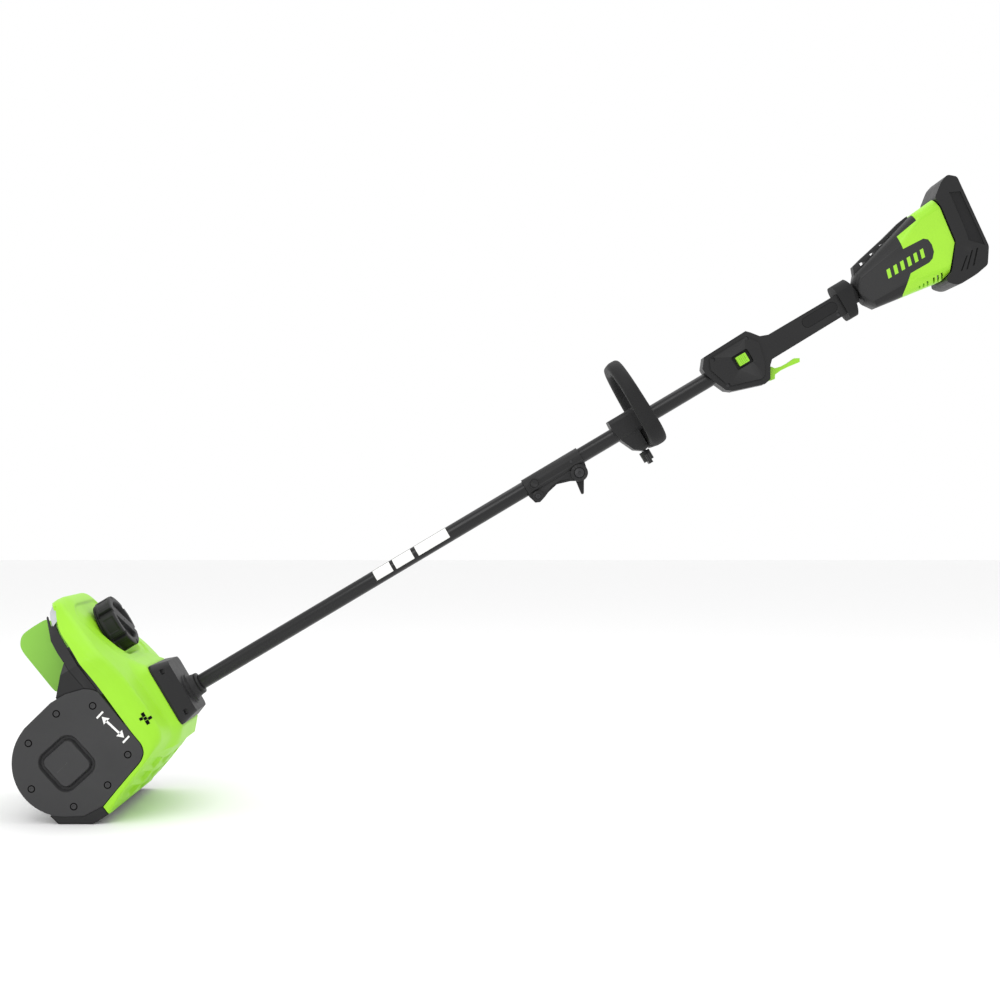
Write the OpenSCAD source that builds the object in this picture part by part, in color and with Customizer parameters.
// Cordless snow shovel: a powered paddle rotor in a hooded head on a two-piece pole,
// with a loop handle, a trigger grip and a motor housing with a battery dock at the top.
// Origin: centre of the flat skid sole, below the rotor axis. +X towards the battery dock, +Z up.

/* [Pole] */
// Tilt of the pole above the ground, in degrees
pole_angle = 30.8; // [28:0.1:33]
// Outer diameter of both pole tubes
tube_d = 25.4; // [24.6:0.1:25.4]
// Wall thickness of the pole tubes
tube_wall = 1.5; // [1:0.1:2]
// Diameter of the drive shaft inside the pole
drive_d = 8; // [6:0.5:9]

/* [Head] */
// Width of the head over its side covers
head_w = 320; // [316:1:330]
// Height of the rotor axis above the ground
rotor_height = 93.2; // [92.8:0.2:94]
// Radius of the side covers around the rotor axis
cover_r = 82.2; // [81.6:0.1:83]
// Radius swept by the paddles
paddle_r = 70; // [62:1:72]
// Wall thickness of the hood and covers
wall = 3.5; // [3:0.1:4]

/* [Knobs and buttons] */
// Outer radius of the vane knob
knob_r = 45; // [41:1:46]
// Number of grip lobes on the vane knob
knob_lobes = 6; // [5:1:8]
// Thickness of each discharge vane
vane_t = 3; // [2:0.5:4]

/* [Hidden] */
$fn = 64;

half_w = head_w / 2;
tube_r = tube_d / 2;
tube_in = tube_r - tube_wall;
drive_r = drive_d / 2;
run = 0.06;          // radial clearance of a running shaft
lead = 14;           // from the rotor axis to the zero of all lengths along the pole
joint_s = 864;       // where the lower tube meets the upper tube
cross_s = 104;       // cross shaft, along the pole
vane_t0 = 152;       // height of the vane pivots above the pole axis
near_frame_y = -half_w + 27;
far_frame_y = half_w - 15;
frame_t = 4;

// A point given along the pole (s) and square to it (t), as X and Z
function at(s, t) = [(s + lead) * cos(pole_angle) - t * sin(pole_angle),
    rotor_height + (s + lead) * sin(pole_angle) + t * cos(pole_angle)];

// Places children with +X along the pole and +Z square to it
module on_pole(s = 0, t = 0) {
    translate([0, 0, rotor_height]) rotate([0, -pole_angle, 0]) translate([s + lead, 0, t]) children();
}
// Extrudes an outline drawn in X and Z from y0 to y1
module across(y0, y1) {
    translate([0, y1, 0]) rotate([90, 0, 0]) linear_extrude(y1 - y0) children();
}
// Extrudes an outline drawn in Y and Z from x0 to x1
module along(x0, x1) {
    translate([x0, 0, 0]) rotate([90, 0, 90]) linear_extrude(x1 - x0) children();
}
module rod_y(r, y0, y1) { across(y0, y1) circle(r); }
module ring_y(r_out, r_in, y0, y1) {
    across(y0, y1) difference() {
        circle(r_out);
        circle(r_in);
    }
}
module ring_x(r_out, r_in, x0, x1) {
    along(x0, x1) difference() {
        circle(r_out);
        circle(r_in);
    }
}
// Rectangle with round corners, from lo to hi
module rounded(lo, hi, r) {
    translate([lo.x, lo.y + r]) square([hi.x - lo.x, hi.y - lo.y - 2 * r]);
    translate([lo.x + r, lo.y]) square([hi.x - lo.x - 2 * r, hi.y - lo.y]);
    for (x = [lo.x + r, hi.x - r], y = [lo.y + r, hi.y - r]) translate([x, y]) circle(r);
}
// Outline with each corner cut back into a short curve
function softened(points, r) = [for (i = [0:len(points) - 1])
    let (n = len(points), b = points[i], a = points[(i + n - 1) % n], c = points[(i + 1) % n],
        p = b + (a - b) * min(r / norm(a - b), 0.45), q = b + (c - b) * min(r / norm(c - b), 0.45))
    for (f = [0:0.25:1]) p * (1 - f) * (1 - f) + b * 2 * f * (1 - f) + q * f * f];

// ---- Head ----
cover_edge = [[-63.1, 146.6], [-22.4, 186.3], [0, 199.6], [28.5, 207.7], [40.7, 206.7],
    [50.9, 202.6], [107.9, 133.4], [116.1, 123.2], [120.7, 110], [116.1, 96.7], [58, 27],
    [29.5, 12.2], [-16.3, 11.7]];
cover_screw_points = [[42.8, 181.8], [-13.2, 169.5], [-56, 124.2], [-51.4, 54], [13.7, 27],
    [65.7, 60.1], [96.7, 106.9]];

module side_outline(grow = 0) {
    translate([0, rotor_height]) circle(cover_r + grow);
    offset(delta = grow) polygon(cover_edge);
}
module at_rotor() { translate([0, 0, rotor_height]) children(); }
module at_cross() { on_pole(cross_s) children(); }

// Outlines of the hood at the side faces, behind the rounded side edges, at the top corners
// and over the central ridge; their front ends are cut off along hood_front
hood_low = [at(-20, -113), at(4, -101.5), at(40, -85), at(88, -63.5), at(109, -54.3),
    at(117.4, -43.4), at(116.8, -11), at(111.5, 60), at(104, 108), at(98, 120), at(-20, 120)];
hood_flank = [at(60, -59), at(97, -59), at(128, -43.8), at(134, -23.5), at(130, 47), at(124, 87),
    at(110, 118), at(60, 118)];
hood_top = [at(50, 190), at(50, 221), at(84, 222.5), at(90, 214), at(78, 190)];
hood_ridge = [at(-20, -110), at(4, -102), at(46, -94), at(103, -73), at(132, -54), at(139, -30),
    at(137, 40), at(134, 85), at(128.5, 110), at(101, 204), at(93, 216), at(84, 229), at(50, 230)];
hood_front = [[-400, 500], [-31.3, 500], [-31.3, 334.4], [-27.4, 307.3], [-19, 291.6],
    [-3.5, 273.1], [51.4, 203.7], [108.8, 134], [117.1, 123.7], [121.5, 110], [116.9, 96.2],
    [58.6, 26.5], [72, 9.8], [72, -50], [-400, -50]];
flank_y = half_w - 12;
top_y = 102;
ridge_y = 64;
pad_face = 149;
fold_t = 120;        // height above the pole axis where the sides start to lean inwards
fold = 30;           // lean of the upper sides
cup_floor = 103.5;   // inner face of the recess that holds the vane knob

module hood_block(inset) {
    hull() {
        across(inset - half_w, half_w - inset) offset(delta = -inset) polygon(hood_low);
        across(inset - flank_y, flank_y - inset) offset(delta = -inset) polygon(hood_flank);
        across(inset - top_y, top_y - inset) offset(delta = -inset) polygon(hood_top);
        across(inset - ridge_y, ridge_y - inset) offset(delta = -inset) polygon(hood_ridge);
    }
}
// Placed on the fold of the near side face, with +Z up the leaning part
module at_fold(inset) {
    on_pole(0, fold_t) translate([0, inset - half_w, 0]) rotate([-fold, 0, 0]) children();
}

module hood() {
    color([0.65, 0.91, 0.2]) difference() {
        union() {
            hood_block(0);
            on_pole() hull() {
                along(124, 126) rounded([-100, -58], [100, 78], 12);
                along(pad_face - 3, pad_face) rounded([-75, -46], [75, 67], 12);
            }
        }
        difference() {
            hood_block(wall);
            on_pole(0, vane_t0) along(cup_floor, 160) circle(knob_r + 8);
        }
        on_pole() along(95, pad_face - 4) rounded([-68, -38], [68, 60], 6);
        across(-half_w - 1, half_w + 1) polygon(hood_front);
        // Window for the gearcase and recess for the vane knob
        on_pole() along(95, pad_face + 1) square([62, 62], center = true);
        on_pole(0, vane_t0) along(cup_floor + wall, 160) circle(knob_r + 5);
        on_pole(0, vane_t0) along(90, 130) circle(7);
    }
}

module cover(depth) {
    difference() {
        across(-half_w, -half_w + depth) side_outline();
        difference() {
            across(-half_w + wall, -half_w + depth + 1) side_outline(-wall);
            for (p = cover_screw_points) translate([p.x, 0, p.y]) rod_y(5, -half_w, 0);
        }
        // The side towards the cross pulley is open
        on_pole() translate([84, -half_w + wall, -24]) cube([30, depth, 48]);
        for (p = cover_screw_points) translate([p.x, 0, p.y]) {
            rod_y(4.6, -half_w - 1, -half_w + 2.5);
            rod_y(1.9, -half_w, 0);
        }
        at_rotor() rotate([0, -38, 0]) across(-half_w - 1, -half_w + 1.6) difference() {
            rounded([-40, -40], [40, 40], 17);
            rounded([-32, -32], [32, 32], 12);
        }
    }
}
module belt_cover() { color([0.27, 0.27, 0.28]) cover(near_frame_y + half_w); }
module end_cover() {
    color([0.27, 0.27, 0.28]) mirror([0, 1, 0]) cover(half_w - far_frame_y - frame_t + 4);
}

// Structural side plate with the bearing seats
module side_frame(y, cross_seat) {
    difference() {
        union() {
            across(y, y + frame_t) side_outline(-wall - 0.5);
            if (cross_seat) at_cross() rod_y(19, y, y + frame_t);
        }
        at_rotor() rod_y(14, y - 1, y + frame_t + 1);
        if (cross_seat) at_cross() rod_y(11, y - 1, y + frame_t + 1);
        for (p = cover_screw_points) translate([p.x, 0, p.y]) rod_y(1.9, y - 1, y + frame_t + 1);
    }
}
module side_frame_near() { color([0.2, 0.2, 0.21]) side_frame(near_frame_y, true); }
module side_frame_far() { color([0.2, 0.2, 0.21]) side_frame(far_frame_y - frame_t, false); }

// Cheeks in lengths along and square to the pole: the upright part and the leaning part
cheek_low = [[48.6, fold_t], [25.1, 93.5], [41, 92.3], [69.7, 84.7], [79.6, 77.6], [85.2, 72.5],
    [79, fold_t]];
cheek_high = [[63.7, 212.5], [61.7, 210.8], [57.5, 189], [54.6, 174.7], [57, 153], [61, 134],
    [48.6, fold_t], [79, fold_t], [73.8, 156], [70.3, 180.6], [70.7, 197.6], [61.9, 193.4]];
cheek_seam_low = [[63, 121], [69.3, 86], [70.7, 86], [64.4, 121]];
cheek_seam_high = [[60.6, 136], [63, 119], [64.4, 119], [62, 136]];
function leaned(points) = [for (p = points) [p.x, (p.y - fold_t) / cos(fold)]];
module cheek_panels() {
    color([0.22, 0.22, 0.23]) for (side = [0, 1]) mirror([0, side, 0]) {
        on_pole() difference() {
            across(-half_w + 1.5, -half_w + 5.5) polygon(cheek_low);
            across(-half_w, -half_w + 2.3) polygon(cheek_seam_low);
        }
        at_fold(1.5) difference() {
            across(0, 4) polygon(leaned(cheek_high));
            across(-1, 0.8) polygon(leaned(cheek_seam_high));
        }
    }
}

module cover_screws() {
    color([0.15, 0.15, 0.16]) for (side = [0, 1], p = cover_screw_points)
        mirror([0, side, 0]) translate([p.x, 0, p.y]) difference() {
            union() {
                rod_y(3.6, -half_w + 0.5, -half_w + 2.5);
                rod_y(1.9, -half_w + 2.5, -half_w + 18);
            }
            rod_y(1.3, -half_w, -half_w + 1.6);
        }
}

module scraper_bar() {
    color([0.16, 0.16, 0.17]) {
        for (side = [0, 1]) mirror([0, side, 0]) across(-half_w + 0.5, -half_w + 26) difference() {
            polygon([[-22.4, 12.2], [-9.8, 0], [43.3, 0], [66.4, 14.3], [57.5, 26.5], [20.4, 30.5],
                [-16.3, 20.4]]);
            side_outline(0.3);
        }
        across(26 - half_w, half_w - 26) polygon([[-8, 0], [43.3, 0], [60, 10.5], [54, 17],
            [40, 8], [-5, 6]]);
    }
}

module lamp_lens() {
    color([0.85, 0.86, 0.88]) intersection() {
        on_pole() across(-130, 130) difference() {
            polygon([[65.9, 216.5], [81.5, 221.5], [71.8, 198.1], [62.7, 194.1]]);
            polygon([[68.5, 214.5], [78, 218], [71, 201], [65.5, 198]]);
        }
        for_both_leans();
    }
}
// Space between the two leaning sides
module for_both_leans() {
    intersection() {
        at_fold(2) translate([-200, 0, -100]) cube([500, 600, 300]);
        mirror([0, 1, 0]) at_fold(2) translate([-200, 0, -100]) cube([500, 600, 300]);
    }
}
module lamp_board() {
    on_pole() {
        color([0.9, 0.9, 0.85]) across(-90, 90)
            polygon([[72.5, 213], [74, 212.4], [70.2, 203], [68.7, 203.6]]);
        color([1, 0.95, 0.7]) for (y = [-72:36:72]) across(y - 4, y + 4)
            polygon([[70.3, 211.5], [71.9, 211], [70.1, 206.6], [68.7, 207]]);
    }
}

module shaft_bearings() {
    color([0.7, 0.7, 0.72]) {
        for (y = [near_frame_y, far_frame_y - frame_t])
            at_rotor() ring_y(14, 6 + run, y, y + frame_t);
        at_cross() ring_y(11, 5 + run, near_frame_y, near_frame_y + frame_t);
        for (y = [-28, 23]) at_cross() ring_y(11, 5 + run, y, y + 5);
        on_pole() ring_x(11, drive_r + run, 132, 138);
    }
}

module gearcase() {
    color([0.55, 0.56, 0.58]) on_pole() difference() {
        union() {
            translate([cross_s, 0, 0]) rod_y(27, -28, 28);
            along(cross_s, pad_face) square([56, 54], center = true);
        }
        translate([cross_s, 0, 0]) rod_y(24, -23, 23);
        along(cross_s, 132) square([46, 46], center = true);
        along(138, pad_face + 1) square([46, 46], center = true);
        along(131, 139) circle(11);
        translate([cross_s, 0, 0]) rod_y(11, -29, 29);
    }
}

module bracket() {
    color([0.17, 0.17, 0.18]) on_pole() difference() {
        union() {
            hull() {
                along(pad_face, pad_face + 4) rounded([-72, -43], [72, 64], 12);
                along(174, 176) rounded([-44, -36], [44, 57], 10);
            }
            along(176, 181) circle(25);
        }
        along(pad_face - 1, pad_face + 6) square([46, 46], center = true);
        along(pad_face, 182) circle(tube_r);
        for (y = [-59, 59], t = [46, -28]) translate([0, y, t]) along(pad_face - 1, 182) circle(2.4);
        for (y = [-59, 59], t = [46, -28]) translate([0, y, t]) along(158, 182) circle(4.6);
    }
}
module bracket_screws() {
    color([0.1, 0.1, 0.1]) on_pole() for (y = [-59, 59], t = [46, -28]) translate([0, y, t])
        difference() {
            union() {
                along(150, 158) circle(2.4);
                along(158, 161) circle(4.2);
            }
            along(159.5, 162) circle(2, $fn = 6);
        }
}
module clamp_collar() {
    color([0.14, 0.14, 0.15]) on_pole() difference() {
        union() {
            ring_x(20, tube_r, 181, 194);
            translate([181, -7, 16]) cube([13, 14, 9]);
        }
        translate([180, -1.2, 12]) cube([15, 2.4, 14]);
        translate([187.5, 0, 21]) rod_y(2, -8, 8);
    }
}

module lower_tube() {
    color([0.13, 0.13, 0.14]) on_pole() ring_x(tube_r, tube_in, 155, joint_s - 2);
}
module pole_labels() {
    on_pole() for (part = [[529, 560, 0], [566, 600, 1], [608, 667, 2]])
        color(part[2] == 0 ? [0.9, 0.8, 0.1] : [0.92, 0.92, 0.92])
            along(part[0], part[1]) difference() {
                intersection() {
                    circle(tube_r + 0.25);
                    translate([-20, -5]) square([20, 17]);
                }
                circle(tube_r);
            }
}
module tube_bushes() {
    color([0.85, 0.85, 0.8]) on_pole() for (s = [300:260:820])
        ring_x(tube_in, drive_r + run, s, s + 20);
}

module drive_belt() {
    color([0.08, 0.08, 0.08]) on_pole() across(-150, -138) difference() {
        hull() {
            translate([-lead, 0]) circle(30.6);
            translate([cross_s, 0]) circle(16.6);
        }
        hull() {
            translate([-lead, 0]) circle(28.4);
            translate([cross_s, 0]) circle(14.4);
        }
    }
}

// ---- Rotor ----
rotor_lo = near_frame_y + frame_t + 3;
rotor_hi = far_frame_y - frame_t - 3;
module rotor_shaft() {
    color([0.75, 0.75, 0.77]) at_rotor() rod_y(6, -151, far_frame_y - 0.5);
}
module rotor_discs() {
    color([0.12, 0.12, 0.13]) at_rotor() difference() {
        union() {
            for (y = [rotor_lo, rotor_hi - 4]) rod_y(paddle_r - 8, y, y + 4);
            rod_y(16, rotor_lo, rotor_hi);
        }
        rod_y(6, rotor_lo - 1, rotor_hi + 1);
    }
}
module rotor_paddles() {
    color([0.1, 0.1, 0.1]) at_rotor() for (turn = [0:90:270]) rotate([0, turn + 20, 0])
        difference() {
            across(rotor_lo + 4, rotor_hi - 4) {
                translate([15, -3]) square([paddle_r - 15 - 7, 6]);
                translate([paddle_r - 8.5, -3]) square([8, 8]);
            }
            rod_y(16, rotor_lo, rotor_hi);
        }
}
module rotor_pulley() {
    color([0.5, 0.5, 0.52]) at_rotor() {
        ring_y(28, 6, -150, -138);
        ring_y(20, 6, -138, -136);
        ring_y(31.5, 6, -137.6, -136);
    }
}

// ---- Cross shaft ----
function toothed(r, depth, teeth) = [for (i = [0:2 * teeth - 1], e = [0.2, 0.8])
    let (a = (i + e) * 180 / teeth, q = i % 2 == 0 ? r : r - depth) [q * cos(a), q * sin(a)]];
module bevel(r_big, r_small, h, teeth, bore) {
    difference() {
        linear_extrude(h, scale = r_small / r_big) polygon(toothed(r_big, 2.4, teeth));
        translate([0, 0, -1]) cylinder(h = h + 2, r = bore);
    }
}
module cross_shaft() { color([0.75, 0.75, 0.77]) at_cross() rod_y(5, -151, 30); }
module bevel_gear() {
    color([0.6, 0.6, 0.6]) at_cross() {
        translate([0, -11.4, 0]) rotate([-90, 0, 0]) bevel(21.6, 15.6, 3, 24, 5);
        ring_y(12, 5, -21, -11.4);
    }
}
module cross_pulley() { color([0.5, 0.5, 0.52]) at_cross() ring_y(14, 5, -150, -138); }

// ---- Drive shafts ----
module lower_drive_shaft() {
    color([0.75, 0.75, 0.77]) on_pole() {
        along(119, joint_s + 2) circle(drive_r);
        along(joint_s + 2, joint_s + 20) square([5.6, 5.6], center = true);
    }
}
module bevel_pinion() {
    color([0.6, 0.6, 0.6]) on_pole() {
        translate([126.6, 0, 0]) rotate([0, -90, 0]) bevel(10.6, 8.2, 5, 12, drive_r);
        ring_x(9, drive_r, 126.6, 131);
    }
}
module upper_drive_shaft() {
    color([0.75, 0.75, 0.77]) on_pole() {
        along(joint_s + 3, joint_s + 24) difference() {
            circle(8);
            square([6.2, 6.2], center = true);
        }
        along(joint_s + 24, 1540) circle(drive_r);
        ring_x(17.5, drive_r, 1482, 1524);
    }
}

// ---- Vanes ----
vane_back = 90;      // rear edge of the vanes, along the pole
vane_edge = [[8, 103], [5, 109], [-6, 184], [-5, 197], [6, 210], [28, 212], [55, 212], [60, 190],
    [vane_back, 186], [vane_back, 104]];
vane_gap = 76;
tie_t = 112;
module vane(end_s) {
    on_pole() {
        across(-vane_t / 2, vane_t / 2) polygon(softened(vane_edge, 9));
        translate([0, 0, vane_t0]) {
            along(vane_back - 9, vane_back + 4) circle(7);
            along(vane_back + 4, end_s) circle(4);
        }
        translate([0, 0, tie_t]) along(vane_back - 6, vane_back + 5) circle(2.5);
    }
}
module centre_vane() { color([0.56, 0.8, 0.31]) vane(knob_s + 10); }
module near_vane() { color([0.56, 0.8, 0.31]) translate([0, -vane_gap, 0]) vane(vane_back + 11); }
module far_vane() { color([0.56, 0.8, 0.31]) translate([0, vane_gap, 0]) vane(vane_back + 11); }
module vane_rail() {
    color([0.2, 0.2, 0.21]) on_pole(0, vane_t0) difference() {
        along(vane_back + 5.5, cup_floor) rounded([-104, -12], [104, 12], 4);
        for (y = [-vane_gap, 0, vane_gap])
            translate([0, y, 0]) along(vane_back + 5, cup_floor + 1) circle(4 + run);
    }
}
module vane_tie_bar() {
    color([0.2, 0.2, 0.21]) on_pole(0, tie_t) difference() {
        along(vane_back + 1.4, vane_back + 4) rounded([-vane_gap - 7, -6], [vane_gap + 7, 6], 5.9);
        along(vane_back, vane_back + 5) circle(2.5 + run);
        for (y = [-vane_gap, vane_gap])
            translate([0, y, 0]) along(vane_back, vane_back + 5) circle(3);
    }
}
knob_s = 108.5;      // underside of the vane knob, along the pole
module vane_knob() {
    color([0.13, 0.13, 0.14]) on_pole(knob_s, vane_t0) difference() {
        union() {
            along(0, 4.5) circle(knob_r - 3);
            along(4.5, 29.5) circle(knob_r - 4);
            for (i = [1:knob_lobes]) rotate([i * 360 / knob_lobes, 0, 0])
                along(2.5, 32.5) translate([0, knob_r - 14]) rounded([-12, -12], [12, 14], 5);
        }
        for (i = [1:knob_lobes]) rotate([(i + 0.5) * 360 / knob_lobes, 0, 0])
            along(8.5, 34) translate([0, knob_r + 8]) circle(14);
        along(27.5, 34) circle(19);
        along(-1, 10) circle(4);
    }
}

// ---- Upper pole ----
module upper_tube() {
    color([0.13, 0.13, 0.14]) on_pole() ring_x(tube_r, tube_in, joint_s, 1450);
}
sleeve_r = 15.2;
sleeve_web = [[813, -6], [811, -14], [815, -28], [822, -31], [832, -28], [842, -24], [860, -20],
    [882, -27], [893, -33], [905, -36], [913, -30], [917, -14], [917, -6]];
module coupler_sleeve() {
    color([0.12, 0.12, 0.13]) on_pole() difference() {
        union() {
            along(813, 917) circle(sleeve_r);
            across(-9, 9) polygon(sleeve_web);
            translate([901, 0, -22.6]) rod_y(14, -14, 14);
            translate([824, 0, -21]) rod_y(9, -12, 12);
            translate([829, 0, 0]) rod_y(9, -18, 0);
        }
        along(800, joint_s) circle(tube_r + run);
        along(joint_s, 930) circle(tube_r);
        translate([901, 0, -22.6]) rod_y(4, -30, 30);
        translate([901, 0, -22.6]) rod_y(9, -15, -11);
        translate([824, 0, -21]) rod_y(5, -13, -9);
        translate([829, 0, 0]) rod_y(6.9, -19, -13.8);
        translate([898, 0, 0]) rod_y(2.6, -19, -sleeve_r + 0.6);
        for (side = [-1, 1]) translate([0, side * 9, 0]) across(-1.6, 1.6)
            polygon([[843, -22], [852, -17.5], [868, -17.5], [884, -24], [866, -19.5]]);
        along(780, 930) translate([-0.6, -40]) square([1.2, 28]);
    }
}
module coupler_bolts() {
    color([0.55, 0.55, 0.56]) on_pole() {
        translate([901, 0, -22.6]) difference() {
            union() {
                rod_y(4, -11, 22);
                rod_y(7.5, -14.5, -11);
            }
            rod_y(3, -15, -12.5, $fn = 6);
        }
        translate([824, 0, -21]) difference() {
            rod_y(4.4, -11.5, -9);
            rod_y(2, -12, -10.2, $fn = 6);
        }
        translate([898, 0, 0]) rod_y(2.6, -sleeve_r - 1, -sleeve_r + 0.6);
    }
}
module release_button() {
    color([0.1, 0.1, 0.1]) on_pole(829) { rod_y(6.4, -19.5, -15.6); }
}
module coupler_knob() {
    color([0.12, 0.12, 0.13]) on_pole(901, -22.6) difference() {
        union() {
            rod_y(11, 14.4, 26);
            across(16.2, 25) hull() {
                circle(9);
                translate([-11, -31]) circle(2.4);
            }
            across(16.2, 25) hull() {
                circle(9);
                translate([7, 19]) circle(3);
            }
        }
        rod_y(4 + run, 14, 22.6);
    }
}

// ---- Loop handle ----
loop_s = 1035;       // middle of the loop handle, along the pole
loop_bolt_s = 1010;  // clamp bolt and its knob, along the pole
clamp_edge = [[982, 26], [1034, 26], [1034, -15], [1019, -15], [1019, -43], [1010, -46],
    [996, -36], [986, -14], [981, 8]];
module loop_handle() {
    color([0.12, 0.12, 0.13]) on_pole(loop_s, 0) {
        along(-14, 14) difference() {
            union() {
                translate([-88, -30]) square([176, 98]);
                translate([-60, -50]) square([120, 156]);
                for (y = [-60, 60]) translate([y, -22]) circle(28);
                for (y = [-50, 50]) translate([y, 68]) circle(38);
            }
            union() {
                translate([-68, -14]) square([136, 76]);
                translate([-54, -28]) square([108, 30]);
                for (y = [-54, 54]) translate([y, -14]) circle(14);
                for (y = [-46, 46]) translate([y, 62]) circle(22);
                translate([-46, 48]) square([92, 36]);
            }
        }
        // Neck that carries the loop under the clamp
        along(-14, 10) rounded([-14, -38], [14, -14.5], 3);
    }
}
module loop_clamp() {
    color([0.13, 0.13, 0.14]) on_pole() difference() {
        intersection() {
            union() {
                along(980, 1034) rounded([-26, -14.5], [26, 25], 8);
                along(980, 1019) rounded([-24, -46], [24, -1], 10);
            }
            across(-30, 30) polygon(clamp_edge);
        }
        along(970, 1040) circle(tube_r + 0.4);
        along(970, 1040) translate([0, -20]) square([1.4, 60], center = true);
        translate([loop_bolt_s, 0, -60]) cylinder(h = 60, r = 4.2);
    }
}
module loop_bolt() {
    color([0.55, 0.55, 0.56]) on_pole(loop_bolt_s, -52) cylinder(h = 38, r = 4);
}
module loop_knob() {
    color([0.11, 0.11, 0.12]) on_pole(loop_bolt_s, -46.5) difference() {
        union() {
            translate([0, 0, -17]) cylinder(h = 17, r = 9);
            translate([0, 0, -22]) linear_extrude(16) hull() {
                translate([0, -13]) circle(3.5);
                translate([0, 13]) circle(3.5);
            }
        }
        translate([0, 0, -6.4]) cylinder(h = 10, r = 4 + run);
    }
}

// ---- Grip housing ----
housing_edge = [[1170, 35], [1158, 20], [1158, 10], [1166, -13], [1173, -29], [1182, -36],
    [1233, -53], [1244, -51], [1256, -31], [1263, -24.5], [1406, -23], [1406, 12.5], [1278, 13],
    [1265, 18], [1255, 31], [1249, 37]];
module housing_half(side) {
    mirror([0, side, 0]) on_pole() difference() {
        union() {
            across(-21, 0) polygon(housing_edge);
            across(-24, -20) polygon([[1176, 28], [1168, 12], [1180, -26], [1232, -43],
                [1240, -40], [1250, -22], [1258, 10], [1245, 28]]);
        }
        along(1150, 1410) circle(tube_r);
        // Trigger and switch chamber
        across(-9, 1) polygon([[1196, -16], [1198, -36], [1228, -49], [1236, -60], [1292, -60],
            [1292, -16]]);
        translate([1221, 0, 0]) across(-25, -16) rounded([-15, -12], [15, 12], 3);
        translate([1366, 0, -2]) across(-22, -18.5) rounded([-32, -9], [32, 9], 8.9);
        for (p = [[1180, 24], [1180, -24], [1244, 26], [1392, -17.5]])
            translate([p[0], 0, p[1]]) {
                rod_y(3.4, -25, -17);
                rod_y(1.6, -20, 1);
            }
    }
}
module grip_housing_near() { color([0.15, 0.15, 0.16]) housing_half(0); }
module grip_housing_far() { color([0.15, 0.15, 0.16]) housing_half(1); }
module housing_screws() {
    color([0.3, 0.3, 0.3]) on_pole() for (p = [[1180, 24], [1180, -24], [1244, 26], [1392, -17.5]])
        translate([p[0], 0, p[1]]) {
            rod_y(3.2, -19.6, -17);
            rod_y(1.6, -17, 12);
        }
}
module grip_pads() {
    color([0.2, 0.2, 0.21]) on_pole() for (side = [0, 1]) mirror([0, side, 0])
        translate([1366, 0, -2]) across(-21.4, -18.5) rounded([-31.5, -8.5], [31.5, 8.5], 8.4);
}
trigger_pivot = [1214, -30];
module trigger() {
    color([0.65, 0.91, 0.2]) on_pole() difference() {
        union() {
            translate([trigger_pivot.x, 0, trigger_pivot.y]) rod_y(5, -7, 7);
            across(-7, 7) polygon([[1214, -25], [1213, -35], [1236, -48], [1247, -53.5],
                [1253, -54.5], [1257, -48.5], [1268, -47.5], [1282, -48.5], [1302, -51.5],
                [1305, -46], [1297, -41.5], [1284, -42.5], [1272, -42], [1262, -39.5], [1258, -34],
                [1240, -28]]);
        }
        translate([trigger_pivot.x, 0, trigger_pivot.y]) rod_y(2.5 + run, -8, 8);
    }
}
module trigger_spring() {
    color([0.7, 0.7, 0.7]) on_pole(trigger_pivot.x, trigger_pivot.y) ring_y(4.4, 2.6, 7.3, 8.8);
}
module lock_button() {
    color([0.55, 0.85, 0.2]) on_pole(1221) {
        across(-26, -17.5) rounded([-9, -8], [9, 8], 1.5);
        for (s = [-6:3:6]) across(-27.2, -26) translate([s, 0]) square([1.4, 14], center = true);
    }
}
module power_switch() {
    color([0.2, 0.2, 0.6]) on_pole() {
        translate([1270, -6, -23]) cube([18, 12, 7]);
        translate([trigger_pivot.x, 0, trigger_pivot.y]) rod_y(2.5, -9, 9);
    }
}
module rear_collar() {
    color([0.1, 0.1, 0.1]) on_pole() difference() {
        union() {
            intersection() {
                along(1406, 1434) rounded([-27, -34], [27, 28], 16);
                across(-30, 30) polygon([[1406, 40], [1426, 40], [1434, 12], [1420, -40], [1406, -40]]);
            }
            along(1420, 1437) circle(17);
        }
        along(1400, 1440) circle(tube_r);
    }
}

// ---- Motor housing and battery dock ----
module motor_body(inset) {
    hull() {
        along(1440, 1441) translate([0, -5]) circle(21 - inset);
        along(1452, 1453) rounded([inset - 28, inset - 39], [28 - inset, 26 - inset], 14);
        along(1530, 1531) rounded([inset - 42, inset - 46], [42 - inset, 43 - inset], 18);
        along(1578, 1579) rounded([inset - 45, inset - 58], [45 - inset, 62 - inset], 18);
        along(1616, 1617) rounded([inset - 45, inset - 50], [45 - inset, 65 - inset], 18);
    }
}
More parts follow.
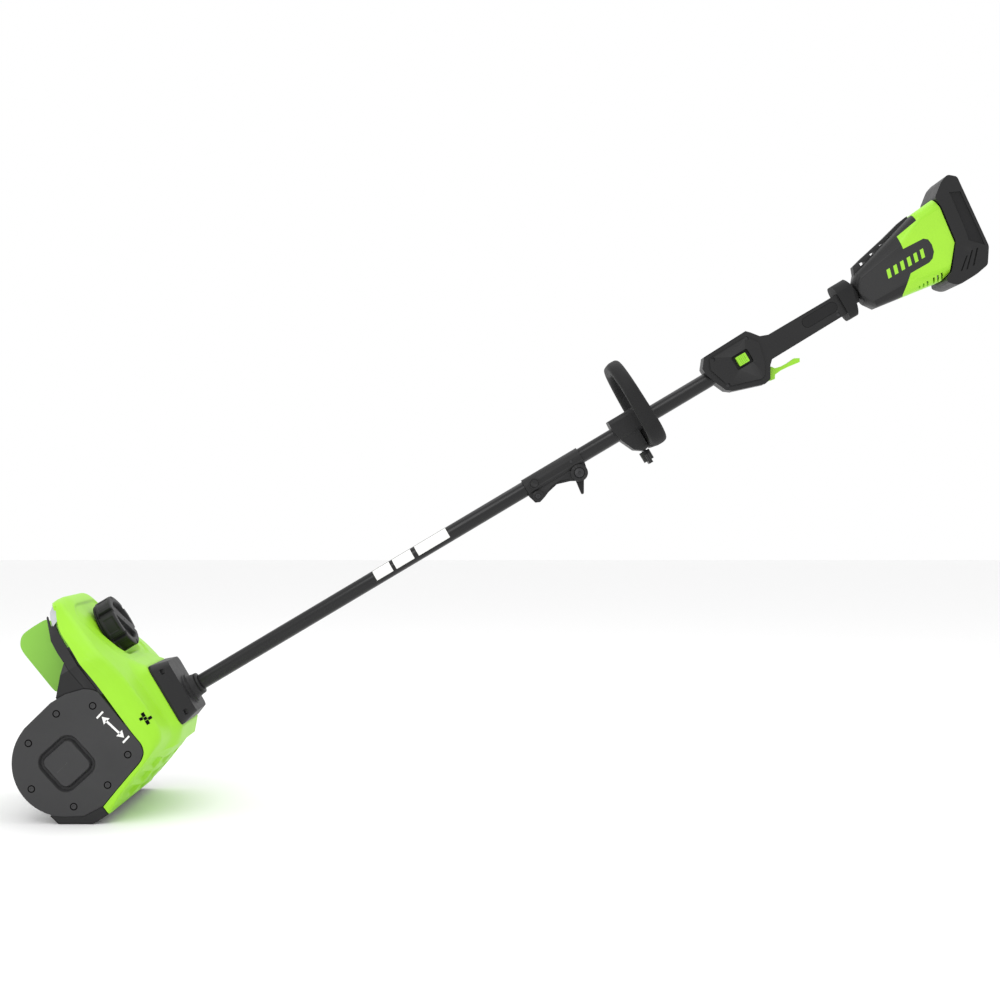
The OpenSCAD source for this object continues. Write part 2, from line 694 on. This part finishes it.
// Split between the dark front housing and the rear shell, seen from the side
shell_split = [[1571.6, 48.9], [1533.5, 42.6], [1530.5, 20.2], [1566, 18], [1572, 13], [1573, 2.7],
    [1570, -9], [1563, -17], [1554.7, -20.1], [1521.4, -19.6], [1496.1, -43]];
module motor_housing() {
    color([0.12, 0.12, 0.13]) on_pole() difference() {
        union() {
            intersection() {
                motor_body(0);
                across(-60, 60) polygon(concat([[1575, 90]], shell_split,
                    [[1494, -90], [1400, -90], [1400, 90]]));
            }
            // Rib along the top with four openings through it
            across(-9, 9) polygon([[1446, 16], [1454.6, 37.4], [1473.6, 42.2], [1521.8, 52.4],
                [1556, 61], [1572.2, 63.2], [1571, 49.2], [1533.5, 42.9], [1500, 20]]);
        }
        intersection() {
            motor_body(3);
            along(1443, 1650) square(200, center = true);
        }
        along(1430, 1450) circle(tube_r);
        for (p = [[1471, 34.4], [1493, 39], [1514, 43.4], [1531, 47.4]])
            translate([p[0], 0, p[1]]) across(-12, 12) square([9, 4.6], center = true);
    }
}
module rear_shell() {
    color([0.65, 0.91, 0.2]) on_pole() difference() {
        intersection() {
            motor_body(0);
            translate([0.3, 0, 0]) across(-60, 60) polygon(concat([[1575, 90]], shell_split,
                [[1494, -90], [1560.2, -90], [1560.8, -61], [1562.4, -54.4], [1574.8, -50.5],
                [1605.6, -13.4], [1614.2, 47], [1613, 64], [1613, 90]]));
        }
        motor_body(3);
        for (s = [1523, 1530, 1537, 1548, 1555, 1562], side = [-1, 1]) translate([s, side * 39, -54])
            rotate([0, 14, 0]) cube([3, 22, 20], center = true);
    }
}
module motor_stator() {
    color([0.6, 0.4, 0.25]) on_pole() {
        ring_x(25, 18, 1484, 1522);
        ring_x(27, 25, 1480, 1526);
        ring_x(27, 9, 1476, 1480);
    }
}
module motor_fan() {
    color([0.2, 0.2, 0.2]) on_pole() {
        ring_x(9, drive_r, 1528, 1538);
        for (i = [0:7]) rotate([i * 45, 0, 0]) along(1530, 1537)
            translate([-1, 8.5]) square([2, 16]);
    }
}
module control_board() {
    color([0.1, 0.4, 0.2]) on_pole() {
        translate([1548, -32, -34]) cube([4, 64, 70]);
        for (y = [-18, 4]) translate([1552, y, -20]) cube([14, 14, 24]);
        translate([1552, 0, 24]) along(0, 18) circle(9);
    }
}
dock_edge = [[1578, -51], [1565, -55], [1563, -62], [1572, -72], [1580, -75.5], [1610, -75],
    [1633, -71], [1650, -46], [1663, 76], [1651, 86.5], [1637, 82], [1615, 65], [1616.5, 47],
    [1608, -13]];
dock_y = 48;
dock_slots = [[[1590, -58], [1610, -41.5]], [[1599, -60.5], [1621.8, -38]],
    [[1611, -60.7], [1630.8, -39.3]]];
module battery_dock() {
    color([0.12, 0.12, 0.13]) on_pole() difference() {
        across(-dock_y, dock_y) polygon(softened(dock_edge, 4));
        // Battery slot, open to the back, and the way through for the wires
        across(-40, 40) polygon([[1629, -52], [1700, -52], [1700, 66], [1629, 66]]);
        along(1600, 1630) rounded([-20, -8], [20, 30], 6);
        for (side = [-1, 1]) translate([0, side * dock_y, 0]) {
            across(-2.4, 2.4) polygon([[1639, 60.6], [1655, 52.5], [1648.7, -14.6], [1645, -41],
                [1626.5, -22.3], [1630.4, -2.1]]);
            for (line = dock_slots) across(-1.6, 1.6) polygon([line[0], line[0] + [3, 0],
                line[1] + [3, 0], line[1]]);
        }
    }
    // Guide rails for the battery
    color([0.12, 0.12, 0.13]) on_pole() for (side = [-1, 1])
        translate([1629, side * 37.5 - 2.5, -40]) cube([19, 5, 6]);
}
module terminal_block() {
    color([0.25, 0.25, 0.25]) on_pole() translate([1629, -20, -20]) cube([7, 40, 34]);
    color([0.8, 0.65, 0.3]) on_pole() for (y = [-14, -5, 4, 13])
        translate([1636, y, -12]) cube([11, 1.2, 18]);
}

hood();
belt_cover();
end_cover();
side_frame_near();
side_frame_far();
cheek_panels();
cover_screws();
scraper_bar();
lamp_lens();
lamp_board();
shaft_bearings();
gearcase();
bracket();
bracket_screws();
clamp_collar();
lower_tube();
pole_labels();
tube_bushes();
drive_belt();
vane_rail();
rotor_shaft();
rotor_discs();
rotor_paddles();
rotor_pulley();
cross_shaft();
bevel_gear();
cross_pulley();
lower_drive_shaft();
bevel_pinion();
vane_knob();
centre_vane();
near_vane();
far_vane();
vane_tie_bar();
upper_tube();
coupler_sleeve();
coupler_bolts();
release_button();
coupler_knob();
loop_handle();
loop_clamp();
loop_bolt();
loop_knob();
grip_housing_near();
grip_housing_far();
housing_screws();
grip_pads();
trigger();
trigger_spring();
lock_button();
power_switch();
rear_collar();
motor_housing();
rear_shell();
motor_stator();
upper_drive_shaft();
motor_fan();
control_board();
battery_dock();
terminal_block();
